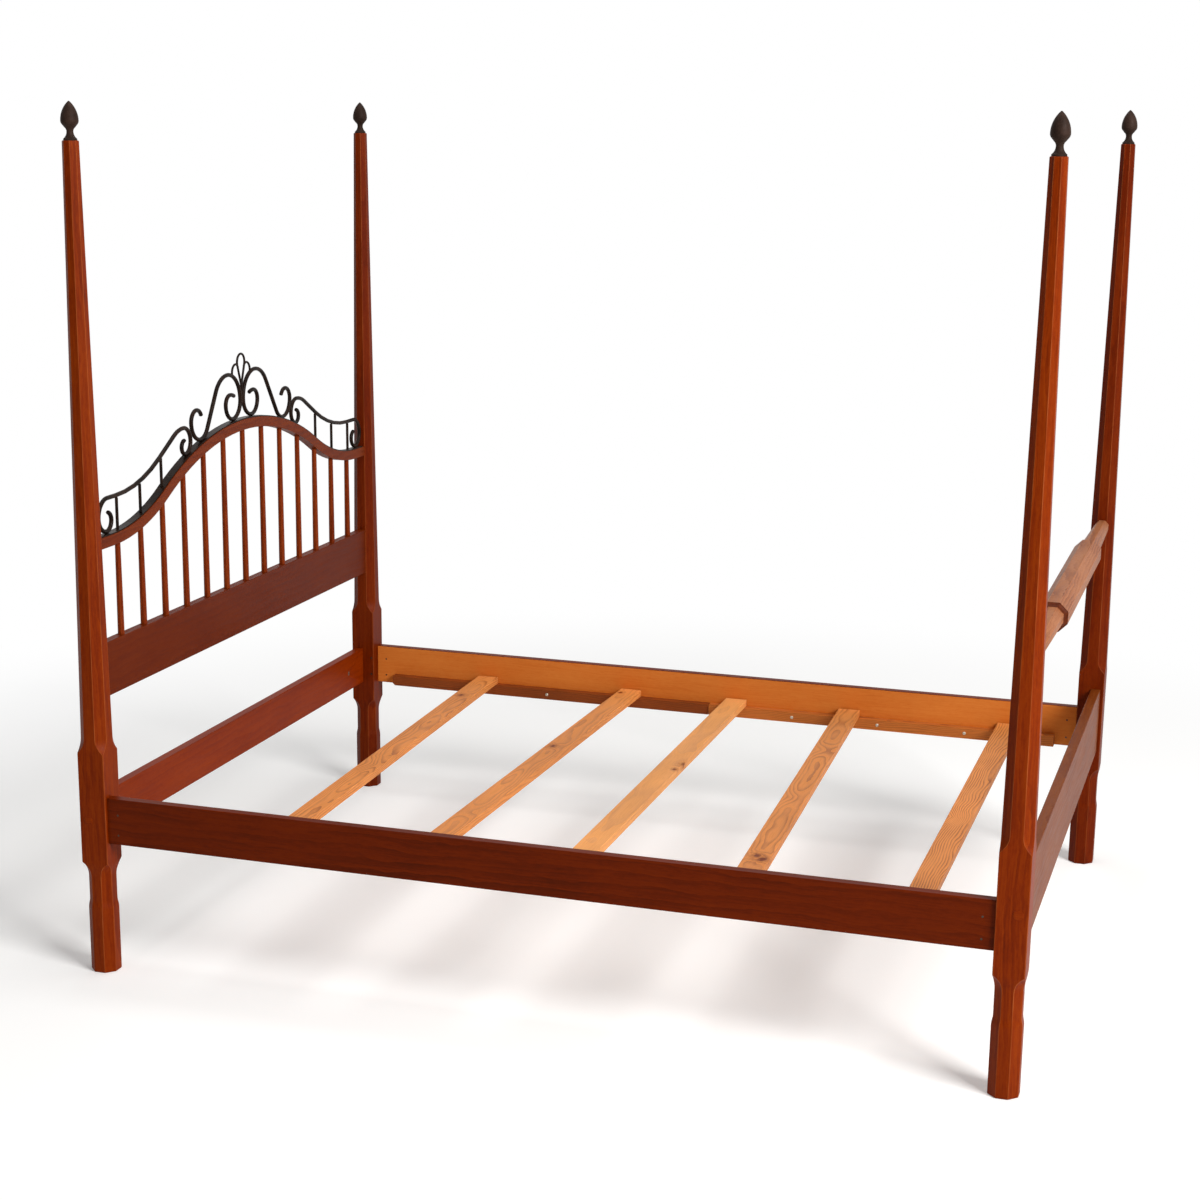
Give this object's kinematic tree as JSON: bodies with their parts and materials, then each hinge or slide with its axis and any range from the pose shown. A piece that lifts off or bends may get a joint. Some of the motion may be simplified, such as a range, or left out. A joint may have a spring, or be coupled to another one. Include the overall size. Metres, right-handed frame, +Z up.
{
  "type": "poster bed",
  "caption": "Four-poster bed with tapered eight-sided posts, bud finials, arched spindle headboard with iron scrollwork, turning blanket rail, hook-on side rails and loose slats.",
  "frame": {"origin": "on the floor under the middle of the bed", "axes": "+X from head to foot, +Y across the bed to the far side, +Z up"},
  "size_m": [2.198, 1.656, 2.014],
  "materials": {
    "post_cherry": "stained cherry, semi-gloss lacquer",
    "rail_cherry": "stained cherry, semi-gloss lacquer",
    "spindle_cherry": "stained cherry, semi-gloss lacquer",
    "blanket_cherry": "stained cherry, satin lacquer",
    "slat_pine": "knotty pine, planed, oiled",
    "ledger_pine": "planed pine",
    "plug_cherry": "turned cherry plug, lacquered",
    "hook_steel": "pressed steel, dull",
    "pin_steel": "dark steel",
    "screw_zinc": "zinc plated",
    "crest_iron": "forged bar, dark bronze paint, satin",
    "finial_iron": "cast, dark brown paint, matt"
  },
  "bodies": {
    "bed_frame": {"head_post_near": "post_cherry", "head_post_far": "post_cherry", "foot_post_near": "post_cherry", "foot_post_far": "post_cherry", "headboard_crest_rail": "rail_cherry", "headboard_panel_rail": "rail_cherry", "head_lower_rail": "rail_cherry", "foot_rail": "rail_cherry", "headboard_spindle_01": "spindle_cherry", "headboard_spindle_02": "spindle_cherry", "headboard_spindle_03": "spindle_cherry", "headboard_spindle_04": "spindle_cherry", "headboard_spindle_05": "spindle_cherry", "headboard_spindle_06": "spindle_cherry", "headboard_spindle_07": "spindle_cherry", "headboard_spindle_08": "spindle_cherry", "headboard_spindle_09": "spindle_cherry", "headboard_spindle_10": "spindle_cherry", "headboard_spindle_11": "spindle_cherry", "headboard_spindle_12": "spindle_cherry", "headboard_spindle_13": "spindle_cherry", "post_hook_pins": "pin_steel", "bed_bolts": "screw_zinc", "barrel_nuts": "pin_steel", "bolt_plugs": "plug_cherry", "crest_strap_screws": "crest_iron", "crest_strap": "crest_iron", "scroll_left": "crest_iron", "scroll_right": "crest_iron", "side_bar_left": "crest_iron", "side_bar_right": "crest_iron", "uprights_left": "crest_iron", "uprights_right": "crest_iron", "crest_loops": "crest_iron"},
    "near_side": {"near_side_rail": "rail_cherry", "near_hook_plate_head": "hook_steel", "near_hook_plate_foot": "hook_steel", "near_plate_rivets": "pin_steel", "near_ledger_head": "ledger_pine", "near_ledger_foot": "ledger_pine", "near_ledger_screws": "screw_zinc"},
    "far_side": {"far_side_rail": "rail_cherry", "far_hook_plate_head": "hook_steel", "far_hook_plate_foot": "hook_steel", "far_plate_rivets": "pin_steel", "far_ledger_head": "ledger_pine", "far_ledger_foot": "ledger_pine", "far_ledger_screws": "screw_zinc"},
    "blanket_roll": {"blanket_rail": "blanket_cherry"},
    "slat_1_board": {"slat_1": "slat_pine"},
    "slat_2_board": {"slat_2": "slat_pine"},
    "slat_3_board": {"slat_3": "slat_pine"},
    "slat_4_board": {"slat_4": "slat_pine"},
    "slat_5_board": {"slat_5": "slat_pine"},
    "head_finial_near_turning": {"head_finial_near": "finial_iron"},
    "head_finial_far_turning": {"head_finial_far": "finial_iron"},
    "foot_finial_near_turning": {"foot_finial_near": "finial_iron"},
    "foot_finial_far_turning": {"foot_finial_far": "finial_iron"}
  },
  "joints": [
    {"name": "near_side_lift", "type": "slide", "parent": "bed_frame", "child": "near_side", "axis": [0, 0, 1], "range_m": [0, 0.022]},
    {"name": "far_side_lift", "type": "slide", "parent": "bed_frame", "child": "far_side", "axis": [0, 0, 1], "range_m": [0, 0.022]},
    {"name": "blanket_turn", "type": "hinge", "parent": "bed_frame", "child": "blanket_roll", "pos_m": [1.065, 0, 0.942], "axis": [0, 1, 0], "continuous": true},
    {"name": "slat_1_lift", "type": "slide", "parent": "near_side", "child": "slat_1_board", "axis": [0, 0, 1], "range_m": [0, 0.25]},
    {"name": "slat_2_lift", "type": "slide", "parent": "near_side", "child": "slat_2_board", "axis": [0, 0, 1], "range_m": [0, 0.25]},
    {"name": "slat_3_lift", "type": "slide", "parent": "near_side", "child": "slat_3_board", "axis": [0, 0, 1], "range_m": [0, 0.25]},
    {"name": "slat_4_lift", "type": "slide", "parent": "near_side", "child": "slat_4_board", "axis": [0, 0, 1], "range_m": [0, 0.25]},
    {"name": "slat_5_lift", "type": "slide", "parent": "near_side", "child": "slat_5_board", "axis": [0, 0, 1], "range_m": [0, 0.25]},
    {"name": "head_finial_near_lift", "type": "slide", "parent": "bed_frame", "child": "head_finial_near_turning", "axis": [0, 0, 1], "range_m": [0, 0.038]},
    {"name": "head_finial_far_lift", "type": "slide", "parent": "bed_frame", "child": "head_finial_far_turning", "axis": [0, 0, 1], "range_m": [0, 0.038]},
    {"name": "foot_finial_near_lift", "type": "slide", "parent": "bed_frame", "child": "foot_finial_near_turning", "axis": [0, 0, 1], "range_m": [0, 0.038]},
    {"name": "foot_finial_far_lift", "type": "slide", "parent": "bed_frame", "child": "foot_finial_far_turning", "axis": [0, 0, 1], "range_m": [0, 0.038]}
  ],
  "couplings": [
    {"joint": "far_side_lift", "follows": "near_side_lift", "ratio": 1}
  ]
}
